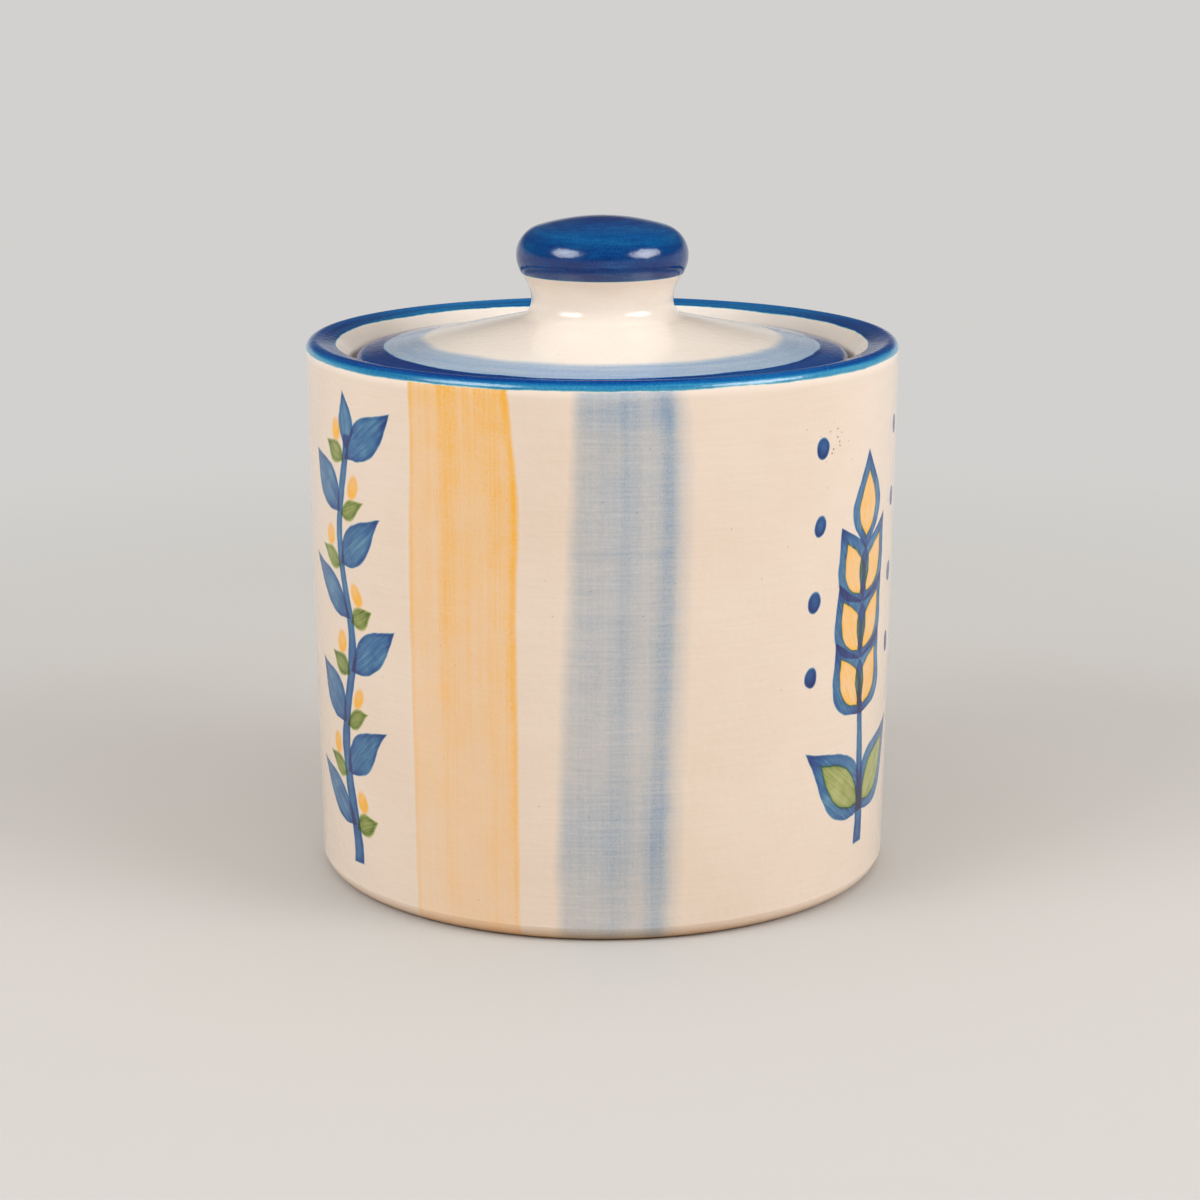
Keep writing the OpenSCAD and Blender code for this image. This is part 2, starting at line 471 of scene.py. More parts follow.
def waves(r, z, angle):
    """Slow waves of hand-turned clay, never deeper than 0.14 mm and never outwards."""
    slow = np.sin(z / SLOW_WAVE + 0.5 * np.sin(angle))
    quick = 0.7 * np.sin(z / QUICK_WAVE + 1.7 + 0.4 * np.sin(2 * angle + 1))
    oval = np.sin(2 * angle + 0.6)
    three_sided = 0.5 * np.sin(3 * angle + 2.1)
    return WAVE_DEPTH * (slow + quick - 1.7) + OVAL_DEPTH * (oval + three_sided - 1.5)


def jar_marks(r, z, angle):
    """Waves outside, finger grooves inside and trimming rings in the hollow of the foot."""
    inside = (r < INSIDE_R) & (z > INSIDE_LOW) & (z < INSIDE_HIGH)
    grooves = -FINGER_DEPTH / 2 * (1 - np.cos(2 * math.pi * z / FINGER_PITCH + angle))
    trimmed = -TRIM_DEPTH / 2 * (1 + np.sin(r / TRIM_WIDTH)) * ((z < HOLLOW_HIGH) & (r < HOLLOW_R))
    return np.where(inside, grooves, waves(r, z, angle) * (z > WALL_FROM)) + trimmed


def lid_marks(r, z, angle):
    """Waves on the free part of the lid's top, between its edge and the foot of the knob."""
    above_edge = np.clip((z - LID_TOP_FROM) / LID_TOP_FADE, 0, 1)
    off_knob = np.clip((r - knob_high.x) / KNOB_FOOT_FADE, 0, 1)
    return waves(r, 3 * z, angle) * above_edge * off_knob


def knob_marks(r, z, angle):
    """Waves on the knob, from a little above its foot."""
    return waves(r, 2 * z, angle) * np.clip((z - NECK_FROM) / NECK_FADE, 0, 1)


print("finger grooves:", round((INSIDE_HIGH - INSIDE_LOW) / FINGER_PITCH), "turns of the spiral")

# %% [markdown]
# Now the three pieces are turned. Each takes the place of its CAD node, rides on the body that carries it
# and gets a glaze of its own. The knob is fixed to the lid, so both ride on the lid's body.

# %% Jar, lid and knob
jar = turn("jar", jar_marks, [(75, 1, 0.06), (232, 2, 0.76), (math.inf, 1, 0.18)])
lid = turn("lid", lid_marks, [(95, 1, 0.3), (math.inf, 2, 0.7)])
knob = turn("knob", knob_marks, [(22, 1, 0.1), (math.inf, 1, 0.9)])
for piece, node, body in ((jar, "jar", "jar"), (lid, "lid", "lid"), (knob, "knob", "lid")):
    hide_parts(node)
    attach(piece, body)

# %% [markdown]
# ## Where a point lies
# Paint on a pot is placed by height and by how far round it lies. Both come from the point's own place in
# the piece, which moves with the lid. The angle is counted from the front, and it is taken alike on the
# front half and the back half, so the back carries the same design.
#
# Most marks of a brush come from noise. Its values lie mostly between 0.3 and 0.7 and hardly ever below
# 0.2 or above 0.8, so they are mapped from one of these spans to the amount that is wanted.

# %% Height, radius and angle
ARC = math.radians(1) * RIM_R
MOST_NOISE = 0.3, 0.7
ALL_NOISE = 0.2, 0.8


class Pot(Finish):
    """A finish that knows where each point of a turned piece lies, in mm and degrees."""

    def __init__(self, name):
        super().__init__(bpy.data.materials.new(name))
        metres = self.add("TexCoord").outputs["Object"]
        self.at = self.add("VectorMath SCALE", {0: metres, "Scale": 1 / MM})
        x, self.backwards, self.height = self.add("SeparateXYZ", [self.at]).outputs
        level = self.add("VectorMath MULTIPLY", [self.at, (1, 1, 0)])
        self.radius = self.add("VectorMath LENGTH", [level]).outputs["Value"]
        depth = self.add("Math ABSOLUTE", [self.backwards])
        turned = self.add("Math ARCTAN2", [x, depth])
        self.angle = self.add("Math DEGREES", [turned])

    def grain(self, across, along, around, detail=2):
        """Noise stretched to streaks, from its sizes in mm as radius, height and way round."""
        along_wall = self.add("Math MULTIPLY", [self.angle, ARC])
        place = self.add("CombineXYZ", [self.radius, self.height, along_wall])
        sizes = (1 / across, 1 / along, 1 / around)
        scaled = self.add("VectorMath MULTIPLY", [place, sizes])
        return self.add("TexNoise", {"Vector": scaled, "Scale": 1, "Detail": detail})


print(f"one degree round the rim is {ARC:.2f} mm")

# %% [markdown]
# ## Paint as washes
# The orange is a thin clay slip that covers what is below it, so it is a plain mix. The blues and the
# green are cobalt and copper oxide, thinned with water, and they filter the light: each layer of the wash
# takes away the same share, so its colour is raised to the power of the thickness. Where two of them
# overlap their colours multiply. That gives the pale middles, the dark edges and the grey-green where
# blue runs over orange, with no colour picked for any of them. The painter had three pots of blue: a
# watery one for the broad stripe and the lid, a bright one for the bands, and one for the brush drawing.

# %% Thickness to colour
CLAY = linear("#E6DDD4")
ORANGE_SLIP = linear("#F0B73E")
WATERY_BLUE = linear("#A3C3EC")
BAND_BLUE = linear("#8FCFE9")
BRUSH_BLUE = linear("#A0CBEA")
COPPER_GREEN = linear("#C4D49C")
# The whiter line below the rim's band: partly milky glaze, partly a painted highlight.
MILKY_GLAZE_AND_HIGHLIGHT = linear("#F8F3EE")


def painted(pot, clay, slip, washes):
    """Returns the clay's colour under a slip that covers it and under washes of the given thickness."""
    colour = pot.add("Mix", [slip, clay, ORANGE_SLIP], data_type="RGBA")
    for pigment, thickness in washes:
        filtered = pot.add("Gamma", [pigment, thickness])
        colour = pot.add("Mix", [1, colour, filtered], data_type="RGBA", blend_type="MULTIPLY")
    return colour


print("a wash of band blue five times as thick:", [round(c**5, 3) for c in BAND_BLUE[:3]])

# %% [markdown]
# ## Stoneware
# The clay is a cream stoneware. It isn't one even colour: it has faint clouds, fine lines round the pot
# from the turning rib, and grains of iron that burn to brown specks. The specks are cells of a Voronoi
# texture. Only where a cell's middle lies within a fifth of a millimetre of the surface does it show, so
# the specks come out rare and of different sizes, as real ones do. In one place on the wall tiny gas
# bubbles burst in the fire and left a crowd of pinholes.

# %% Clay with specks
IRON_SPECK = linear("#7A5A44")
DUSKY_CLAY = linear("#D9CAB9")
CLOUD = 26
TURNING_LINE = 0.6, 0.6, 12
LINES_IN_MOTTLE = 0.6
MOTTLE_FROM_TO = 0.5, 1.15
DUSKIEST = 0.5
SPECK_GAP = 5.0
SPECK_R = 0.22
SPECK_CORE = 0.2
SPECK_DARK = 0.8
PINHOLE_GAP = 1.7
PINHOLE_R = 0.24
BURST_FROM_TO = 3, 9


def pinholes(pot, angle, height):
    """1 in the pinholes that crowd round a place on the wall, and 0 elsewhere."""
    around = math.radians(angle)
    centre = (RIM_R * math.sin(around), -RIM_R * math.cos(around), height)
    away = pot.add("VectorMath DISTANCE", [pot.at, centre]).outputs["Value"]
    size = pot.add("MapRange", [away, *BURST_FROM_TO, PINHOLE_R / PINHOLE_GAP, 0])
    holes = pot.add("TexVoronoi", {"Vector": pot.at, "Scale": 1 / PINHOLE_GAP}).outputs["Distance"]
    return pot.add("Math LESS_THAN", [holes, size])


def stoneware(pot, burst=None):
    """Returns the colour of the bare clay. burst is the angle and height of a crowd of pinholes."""
    cloud = pot.add("TexNoise", {"Vector": pot.at, "Scale": 1 / CLOUD, "Detail": 3})
    ribbed = pot.grain(*TURNING_LINE)
    mottle = pot.add("Math MULTIPLY_ADD", [ribbed, LINES_IN_MOTTLE, cloud])
    duskiness = pot.add("MapRange", [mottle, *MOTTLE_FROM_TO, 0, DUSKIEST])
    clay = pot.add("Mix", [duskiness, CLAY, DUSKY_CLAY], data_type="RGBA")
    grains = pot.add("TexVoronoi", {"Vector": pot.at, "Scale": 1 / SPECK_GAP}).outputs["Distance"]
    core, edge = SPECK_CORE * SPECK_R / SPECK_GAP, SPECK_R / SPECK_GAP
    specks = pot.add("MapRange", [grains, core, edge, SPECK_DARK, 0])
    if burst:
        specks = pot.add("Math MAXIMUM", [specks, pinholes(pot, *burst)])
    return pot.add("Mix", [specks, clay, IRON_SPECK], data_type="RGBA")


print("one grain of iron in each", SPECK_GAP, "mm cube of clay")

# %% [markdown]
# ## Glaze
# A clear stoneware glaze is a skin of glass about half a millimetre thick. It bends light a little more
# than window glass does, and it is nearly smooth, but it draws thin over the turning lines and dimples
# slightly, like the peel of an orange. That is what breaks up its reflections. The glaze is wiped off
# where the pot stands and where the lid rests, and there the clay is matt.

# %% Clear glaze over a colour
BARE_CLAY = linear("#D9C4AC")
BARE_ROUGH = 0.75
GLAZE_IOR = 1.58
GLAZE_ROUGH = 0.11
SMOOTHER, ROUGHER = 0.03, 0.06
BREATH = 18
PEEL = 2.0
PEEL_DEPTH = 0.075
RIB = 0.8, 0.8, 16
RIB_DEPTH = 0.006


def glazed(pot, colour, bare=None):
    """Ends a finish: a clear glaze over colour, left off where bare is 1."""
    peel = pot.add("TexNoise", {"Vector": pot.at, "Scale": 1 / PEEL, "Detail": 1})
    dimples = pot.add("Math MULTIPLY", [peel, PEEL_DEPTH])
    relief = pot.add("Math MULTIPLY_ADD", [pot.grain(*RIB), RIB_DEPTH, dimples])
    normal = pot.add("Bump", {"Strength": 1, "Distance": MM, "Height": relief})
    breath = pot.add("TexNoise", {"Vector": pot.at, "Scale": 1 / BREATH, "Detail": 3})
    smooth, rough = GLAZE_ROUGH - SMOOTHER, GLAZE_ROUGH + ROUGHER
    roughness = pot.add("MapRange", [breath, *MOST_NOISE, smooth, rough])
    if bare:
        roughness = pot.add("Mix", [bare, roughness, BARE_ROUGH])
        colour = pot.add("Mix", [bare, colour, BARE_CLAY], data_type="RGBA")
    skin = {"Base Color": colour, "Roughness": roughness, "IOR": GLAZE_IOR, "Normal": normal}
    pot.add("OutputMaterial", [pot.add("BsdfPrincipled", skin)])
    print(pot.owner.name, "has", len(pot.tree.nodes), "nodes")
    return pot.owner


print("the glaze mirrors", round(((GLAZE_IOR - 1) / (GLAZE_IOR + 1)) ** 2, 3), "of the light head on")

# %% [markdown]
# ## Brush marks
# A brush leaves three things that a flat fill lacks: streaks along the stroke from its bristles, a darker
# line where wet paint gathers at the edge, and a skip here and there where it rides over the turning
# lines. The clay below is gritty, so a thin wash also looks grained. Three functions give the streaks, the
# grain and the edge.

# %% Streaks, pores and edges
FINE_BRISTLE, BROAD_BRISTLE = 0.6, 2.4
PORE = 0.55
POOL_FROM_TO = 0.4, 1.6


def bristles(pot, upright, length, fine, broad):
    """A factor around 1 from streaks of a length in mm, upright or level, with fine and broad ones."""
    total = 1
    for width, reach, amount in ((FINE_BRISTLE, length, fine), (BROAD_BRISTLE, 3 * length, broad)):
        shape = (width, reach, width) if upright else (width, width, reach)
        streaks = pot.add("MapRange", [pot.grain(*shape), *MOST_NOISE, -amount, amount], clamp=False)
        total = pot.add("Math ADD", [total, streaks])
    return total


def pores(pot, amount):
    """A factor around 1 from the paint that gathers in the pores of the clay."""
    grit = pot.add("TexNoise", {"Vector": pot.at, "Scale": 1 / PORE, "Detail": 1})
    return pot.add("MapRange", [grit, *MOST_NOISE, 1 - amount, 1 + amount], clamp=False)


def stroke(pot, inside, thickness, soft=0.3, pooled=0.3):
    """Thickness of a wash, from how far inside the stroke's edge a place lies in mm."""
    laid = pot.add("MapRange", [inside, -soft, soft, 0, thickness], interpolation_type="SMOOTHSTEP")
    pool = [inside, *POOL_FROM_TO, 1 + pooled, 1]
    gathered = pot.add("MapRange", pool, interpolation_type="SMOOTHSTEP")
    return pot.add("Math MULTIPLY", [laid, gathered])


print("bristles", FINE_BRISTLE, "and", BROAD_BRISTLE, "mm apart, pores of", PORE, "mm")

# %% [markdown]
# ## Two upright stripes
# Each stripe is one pull of a flat brush, an inch wide and spread a little as it is pressed down, from
# the rim to the foot. The orange one was full of paint: its edges are crisp, its right edge is darkest,
# and it fades as the brush runs dry. The blue one was mostly water: its edges fade, two streaks show where
# the bristles held more paint, and the brush rested once on the way down. The hand drifted a little, so
# each edge is a smooth line through a few places, given as height and angle. Across a stripe the thickness
# of the paint is given from its left edge, 0, to its right edge, 1, and down the wall at each height.

# %% Places of the stripes
STRIPE_TOP = JAR_H - 1.9
ORANGE_LEFT = [(0, -38.2), (60, -38.3), (95, -38.3), (121, -37.6), (138, -37.8)]
ORANGE_RIGHT = [(0, -15.5), (60, -15.5), (85, -15.5), (109, -15.0), (125, -16.0), (138, -17.0)]
ORANGE_ACROSS = [
    (0, 0), (0.01, 0.9), (0.03, 1.12), (0.05, 0.8), (0.09, 0.74), (0.2, 0.84), (0.27, 0.79),
    (0.335, 1.08), (0.385, 1.12), (0.45, 1.02), (0.52, 0.91), (0.58, 0.97), (0.65, 0.94),
    (0.74, 1.07), (0.8, 1.17), (0.87, 1.14), (0.92, 1.3), (0.965, 1.55), (0.98, 1.0), (1, 0),
]
ORANGE_DOWN = [(0, 0.54), (60, 0.8), (120, 1.05), (130, 1.14), (STRIPE_TOP - 0.4, 1.24), (STRIPE_TOP, 0)]
BLUE_LEFT = [(0, -9.2), (30, -9.3), (50, -8.6), (70, -7.9), (90, -7.2), (122, -6.2), (138, -5.8)]
BLUE_RIGHT = [
    (0, 15.2), (30, 15.8), (50, 16.1), (70, 16.6), (90, 17.0), (110, 17.2), (130, 16.3), (138, 15.4),
]
BLUE_ACROSS = [
    (0, 0), (0.03, 0.2), (0.07, 0.55), (0.11, 0.84), (0.2, 0.98), (0.33, 0.97), (0.4, 1.08), (0.465, 1.22),
    (0.53, 1.08), (0.63, 0.84), (0.7, 1.02), (0.78, 1.42), (0.83, 1.1), (0.87, 0.66), (0.92, 0.32), (1, 0),
]
BLUE_DOWN = [
    (0, 0.8), (8, 0.84), (16, 0.98), (28, 1.16), (38, 1.0), (50, 0.86), (62, 0.94), (75, 0.98),
    (96, 0.99), (97.2, 1.18), (98.4, 0.99), (110, 1.0), (126, 1.03), (131, 1.38),
    (STRIPE_TOP - 2.4, 1.22), (STRIPE_TOP, 0.3),
]
for name, left, right in (("orange", ORANGE_LEFT, ORANGE_RIGHT), ("blue", BLUE_LEFT, BLUE_RIGHT)):
    print(f"the {name} stripe is {(right[0][1] - left[0][1]) * ARC:.0f} mm wide at its foot")

# %% [markdown]
# A curve in a node holds values from 0 to 1 only. So angles and thicknesses are squeezed into that span
# to draw their curve, and stretched again after it.

# %% Stripes from rim to foot
WIDEST_ANGLE = 45
MOST_PAINT = 2


def along_height(pot, places, low, high):
    """A value at each height, between low and high, on a smooth line through places."""
    share = pot.add("Math DIVIDE", [pot.height, JAR_H])
    curve = [(height / JAR_H, (value - low) / (high - low)) for height, value in places]
    line = pot.add("FloatCurve", {"Value": share}, curve=curve)
    return pot.add("MapRange", [line, 0, 1, low, high])


def stripe(pot, left, right, across, down, wander):
    """Thickness of an upright stripe, 1 in the mean, whose edges wander by an angle in degrees."""
    drift = pot.grain(40, 9, 9, detail=3)
    swing = pot.add("MapRange", [drift, *ALL_NOISE, -wander, wander])
    angle = pot.add("Math ADD", [pot.angle, swing])
    left_edge = along_height(pot, left, -WIDEST_ANGLE, WIDEST_ANGLE)
    right_edge = along_height(pot, right, -WIDEST_ANGLE, WIDEST_ANGLE)
    share = pot.add("MapRange", [angle, left_edge, right_edge, 0, 1])
    curve = [(place, paint / MOST_PAINT) for place, paint in across]
    line = pot.add("FloatCurve", {"Value": share}, curve=curve)
    laid = pot.add("Math MULTIPLY", [line, MOST_PAINT])
    return pot.add("Math MULTIPLY", [laid, along_height(pot, down, 0, MOST_PAINT)])


print("the stripes end", round(JAR_H - STRIPE_TOP, 1), "mm below the crown of the rim")

# %% [markdown]
# ## The rim
# While the jar turned on the wheel, a loaded brush was held against its rim. So the band runs from just
# below the outer edge over the top face, and its edges are nearly level, but sway and fray a little. The
# paint is thin on the edge itself, where it shows a bright azure, and it lies thick and streaky on the
# flat. Towards the back it is painted thinner and so lighter: painted light, as the far side of the rim
# tilts to the camera and catches more light. Just below the band the wall starts with a whiter line, partly
# a thicker, milky glaze and partly a painted highlight where the top of the wall catches the lamps.

# %% Band round the rim
RIM_INNER = RIM_R - 7.6
RIM_DROP = 2.2
BAND_THICK = 5.6
BAND_OUTWARDS = [(0, 0.58), (0.15, 0.54), (0.5, 0.54), (0.8, 0.48), (0.9, 0.42), (0.95, 0.25), (1, 0.22)]
# Painted light: the band is thinner, so lighter, towards the back, where its face tilts to the camera.
LIGHTER_BACK_FROM_TO = 10, 60
FRONT_LOAD, BACK_LOAD_PAINTED_LIGHTER = 2, 1.4
SWAY_SIZE, SWAY = (20, 20, 20), 0.3
FRAY_SIZE, FRAY = (1.6, 1.6, 2.6), 0.1
# The whiter line below the band: partly milky glaze, partly a painted highlight of the lamps.
WHITER_LINE_FROM_TO = JAR_H - 4.8, JAR_H - 2.3
WHITEST_LINE = 0.6


def rim_band(pot):
    """Thickness of the blue band on the rim of the jar."""
    sway = pot.add("MapRange", [pot.grain(*SWAY_SIZE), *ALL_NOISE, -SWAY, SWAY])
    fray = pot.add("MapRange", [pot.grain(*FRAY_SIZE), *ALL_NOISE, -FRAY, FRAY])
    unsteady = pot.add("Math ADD", [sway, fray])
    outwards = pot.add("Math SUBTRACT", [pot.radius, RIM_INNER])
    upwards = pot.add("Math SUBTRACT", [pot.height, JAR_H - RIM_DROP])
    nearest = pot.add("Math MINIMUM", [outwards, upwards])
    inside = pot.add("Math ADD", [nearest, unsteady])
    band = stroke(pot, inside, BAND_THICK, soft=0.25, pooled=0)
    share = pot.add("MapRange", [outwards, 0, RIM_R - RIM_INNER, 0, 1])
    laid = pot.add("FloatCurve", {"Value": share}, curve=BAND_OUTWARDS)
    # Painted light: thinner paint, so a lighter band, on the far side of the rim.
    painted_lighter_back = [pot.backwards, *LIGHTER_BACK_FROM_TO, FRONT_LOAD, BACK_LOAD_PAINTED_LIGHTER]
    load = pot.add("MapRange", painted_lighter_back, interpolation_type="SMOOTHSTEP")
    loaded = pot.add("Math MULTIPLY", [laid, load])
    lines = bristles(pot, upright=False, length=25, fine=0.14, broad=0.16)
    streaks = pot.add("Math MULTIPLY", [lines, pores(pot, 0.12)])
    even = pot.add("Math MULTIPLY", [band, loaded])
    return pot.add("Math MULTIPLY", [even, streaks])


def milky_line_and_painted_highlight(pot):
    """How much whiter the wall is just below the rim's band: partly milky glaze, partly a painted highlight.
    """
    return pot.add("MapRange", [pot.height, *WHITER_LINE_FROM_TO, 0, WHITEST_LINE], interpolation_type="SMOOTHSTEP")


print(f"the band covers {RIM_R - RIM_INNER:.1f} mm of the rim and {RIM_DROP} mm of its outer edge")

# %% [markdown]
# ## Drawing on the wall
# The ornament is drawn with a soft round brush, in strokes about 4 mm wide. Each stroke is a shape in a
# flat drawing, in mm across and up from its own middle, which is wrapped round the wall. A little noise
# moves the drawing's places, so that no two leaves come out alike, as a steady but human hand leaves them.

# %% Places in a drawing
WOBBLE = 2.4
WOBBLE_SIZE = 14
BEYOND = 1000
ROW_SLACK = 1


def sketch(pot, centre):
    """The place of each point in a drawing round the angle centre, in mm across and up."""
    quarter = 90 * ARC
    across = pot.add("MapRange", [pot.angle, centre - 90, centre + 90, -quarter, quarter], clamp=False)
    flat = pot.add("CombineXYZ", [across, pot.height, 0])
    noise = pot.add("TexNoise", {"Vector": pot.at, "Scale": 1 / WOBBLE_SIZE, "Detail": 3}).outputs["Color"]
    centred = pot.add("VectorMath SUBTRACT", [noise, (0.5, 0.5, 0.5)])
    shaken = pot.add("VectorMath SCALE", {0: centred, "Scale": WOBBLE})
    return pot.add("VectorMath ADD", [flat, shaken])


def swayed(pot, place, swing, pitch):
    """The drawing pushed sideways in waves, so that what is drawn upright climbs in curves."""
    up = pot.add("SeparateXYZ", [place]).outputs["Y"]
    phase = pot.add("Math MULTIPLY", [up, 2 * math.pi / pitch])
    wave = pot.add("Math MULTIPLY", [pot.add("Math SINE", [phase]), swing])
    return pot.add("VectorMath SUBTRACT", [place, pot.add("CombineXYZ", [wave, 0, 0])])


def rows(pot, place, first, pitch, count):
    """Repeats what is drawn at the height first, count times and pitch mm apart. Returns the place in the
    nearest row, and 1 where that row is one of them."""
    counted = pot.add("VectorMath SUBTRACT", [place, (0, first, 0)])
    reach = (BEYOND, 0.75 * pitch, BEYOND)
    back = (-BEYOND, -0.25 * pitch, -BEYOND)
    local = pot.add("VectorMath WRAP", [counted, reach, back])
    moved = pot.add("VectorMath SUBTRACT", [counted, local])
    row = pot.add("SeparateXYZ", [moved]).outputs["Y"]
    middle = pitch * (count - 1) / 2
    return local, pot.add("Math COMPARE", [row, middle, middle + ROW_SLACK])


print("a drawing is", round(180 * ARC), "mm across, half of the way round the jar")

# %% [markdown]
# Three kinds of stroke make up the whole drawing. A leaf starts thin at its foot, swells as the brush is
# pressed down and ends in a point as it is lifted, and the bristles draw fine lines along it. A dot is a
# dab of the tip, with more paint at its lower end, where it ran. A stem is one long pull.

# %% Leaf, dot and stem
LEAF_HALF_WIDTH = [
    (0, 0.06), (0.08, 0.2), (0.22, 0.4), (0.42, 0.5), (0.62, 0.4), (0.8, 0.21), (0.92, 0.08), (1, 0),
]
LEAF_LOAD = [(0, 0.62), (0.15, 0.5), (0.5, 0.42), (0.8, 0.5), (1, 0.68)]
LEAF_LINES = (2.2, 0.09, 0)
LINES_MOVE = 0.05
LEAF_THIN, LEAF_FULL = 1.5, 2.5
DOT_LOW, DOT_HIGH = 1.25, 0.75
STEM_LOW, STEM_HIGH = 1.15, 0.9
STEM_TAPER = 1.7


def leaf(pot, place, foot, lean, length, width):
    """How far inside a leaf a place lies in mm, and how thick its paint is there, 1 in the mean. The leaf
    grows from its foot and leans lean degrees to the left."""
    moved = pot.add("VectorMath SUBTRACT", [place, (*foot, 0)])
    turned = pot.add("VectorRotate", {"Vector": moved, "Angle": math.radians(-lean)}, rotation_type="Z_AXIS")
    across, along, _ = pot.add("SeparateXYZ", [turned]).outputs
    share = pot.add("Math DIVIDE", [along, length])
    half = pot.add("FloatCurve", {"Value": share}, curve=LEAF_HALF_WIDTH)
    half = pot.add("Math MULTIPLY", [half, width])
    aside = pot.add("Math ABSOLUTE", [across])
    inside = pot.add("Math SUBTRACT", [half, aside])
    lines = pot.add("VectorMath MULTIPLY", [turned, LEAF_LINES])
    onwards = pot.add("Math MULTIPLY", [pot.height, LINES_MOVE])
    unlike = pot.add("VectorMath ADD", [lines, pot.add("CombineXYZ", [0, 0, onwards])])
    streaks = pot.add("TexNoise", {"Vector": unlike, "Scale": 1})
    load = pot.add("FloatCurve", {"Value": share}, curve=LEAF_LOAD)
    fine = pot.add("MapRange", [streaks, *MOST_NOISE, LEAF_THIN, LEAF_FULL], clamp=False)
    return inside, pot.add("Math MULTIPLY", [load, fine])


def dot(pot, place, middle, width, height):
    """How far inside an oval dab a place lies in mm, and how thick its paint is there."""
    moved = pot.add("VectorMath SUBTRACT", [place, (*middle, 0)])
    scaled = pot.add("VectorMath MULTIPLY", [moved, (2 / width, 2 / height, 0)])
    out = pot.add("VectorMath LENGTH", [scaled]).outputs["Value"]
    up = pot.add("SeparateXYZ", [scaled]).outputs["Y"]
    thickness_by_height = pot.add("MapRange", [up, -1, 1, DOT_LOW, DOT_HIGH])
    return pot.add("MapRange", [out, 0, 1, width / 2, 0], clamp=False), thickness_by_height


def stem(pot, place, low, high, width):
    """How far inside an upright line a place lies in mm, and how thick its paint is there."""
    across, up, _ = pot.add("SeparateXYZ", [place]).outputs
    half = pot.add("MapRange", [up, low, high, width / 2, width / 2 / STEM_TAPER])
    aside = pot.add("Math ABSOLUTE", [across])
    inside = pot.add("Math SUBTRACT", [half, aside])
    above = pot.add("Math SUBTRACT", [up, low])
    below = pot.add("Math SUBTRACT", [high, up])
    ends = pot.add("Math MINIMUM", [above, below])
    thickness_by_height = pot.add("MapRange", [up, low, high, STEM_LOW, STEM_HIGH])
    return pot.add("Math MINIMUM", [inside, ends]), thickness_by_height


print("a leaf is widest at", max(LEAF_HALF_WIDTH, key=lambda place: place[1])[0], "of its length")

# %% [markdown]
# The strokes are added up for each colour. Where two of one colour cross, the paint is twice as thick. A
# shape can also be outlined first, with a line of the brush, and what that leaves free is filled.

# %% Strokes added up
OUTLINE = 3.5
OVERLAP = 0.35


class Drawing:
    """The strokes of a drawing, added up for each colour."""

    def __init__(self, pot):
        self.pot = pot
        self.layers = {}

    def paint(self, colour, shape, thickness, where=None, **edge):
        """Fills a shape with a wash, in the rows where it is whole."""
        inside, load = shape
        laid = stroke(self.pot, inside, thickness, **edge)
        laid = self.pot.add("Math MULTIPLY", [laid, load])
        if where:
            laid = self.pot.add("Math MULTIPLY", [laid, where])
        if colour in self.layers:
            laid = self.pot.add("Math ADD", [self.layers[colour], laid])
        self.layers[colour] = laid

    def outline(self, colour, shape, thickness, where=None):
        """Draws a line of the brush's width along the edge of a shape, and returns what it leaves free."""
        inside, load = shape
        off = self.pot.add("Math ABSOLUTE", [inside])
        line = self.pot.add("Math SUBTRACT", [OUTLINE / 2, off])
        self.paint(colour, (line, load), thickness, where, pooled=0.15)
        return self.pot.add("Math ADD", [inside, OVERLAP - OUTLINE / 2]), load


print("an outline is", OUTLINE, "mm wide, and the paint inside runs", OVERLAP, "mm over it")

# %% [markdown]
# ## A garland
# The ornaments are common ones in country pottery. A garland climbs the wall on the left: a waving stem
# with blue leaves by turns on either side, each with a small green leaf and an orange berry across from
# it. Only one leaf of each kind is drawn, and rows repeat it up the stem.

# %% Garland on the left
GARLAND_AT = -58
GARLAND_PITCH = 27
GARLAND_FOOT, GARLAND_TOP = 10, 120
GARLAND_LEAVES_FROM = 20


def garland(drawing):
    """Draws the garland."""
    pot = drawing.pot
    place = swayed(pot, sketch(pot, GARLAND_AT), swing=2.6, pitch=2 * GARLAND_PITCH)
    drawing.paint("blue", stem(pot, place, GARLAND_FOOT, GARLAND_TOP, width=4.4), thickness=3.0)
    tip = leaf(pot, place, (0, GARLAND_TOP - 3), lean=0, length=14, width=6.8)
    drawing.paint("blue", tip, thickness=3.0)
    for side, first in ((-1, GARLAND_LEAVES_FROM), (1, GARLAND_LEAVES_FROM + GARLAND_PITCH / 2)):
        local, whole = rows(pot, place, first, GARLAND_PITCH, count=4)
        broad_leaf = leaf(pot, local, (0.4 * side, 0), lean=-54 * side, length=22, width=9.8)
        small_leaf = leaf(pot, local, (-1 * side, -1), lean=68 * side, length=10, width=5.2)
        berry = dot(pot, local, (-5.2 * side, 6.4), width=4.6, height=5.6)
        drawing.paint("blue", broad_leaf, thickness=3.4, where=whole)
        drawing.paint("green", small_leaf, thickness=2.6, where=whole, soft=0.6)
        drawing.paint("orange", berry, thickness=0.85, where=whole, soft=0.6, pooled=0.2)


print("garland", GARLAND_TOP - GARLAND_FOOT, "mm high, with leaves every", GARLAND_PITCH / 2, "mm")

# %% [markdown]
# ## An ear of corn
# On the right stands an ear of corn with orange grains outlined in blue, two long leaves and dots. One
# grain stands upright at its tip, and below it pairs of grains lean out to either side of the stem.

# %% Ear of corn on the right
EAR_AT = 60
EAR_FOOT, EAR_FROM = 14, 50
GRAIN_PITCH = 14.5
DOTS_FROM, DOT_PITCH = 62, 19


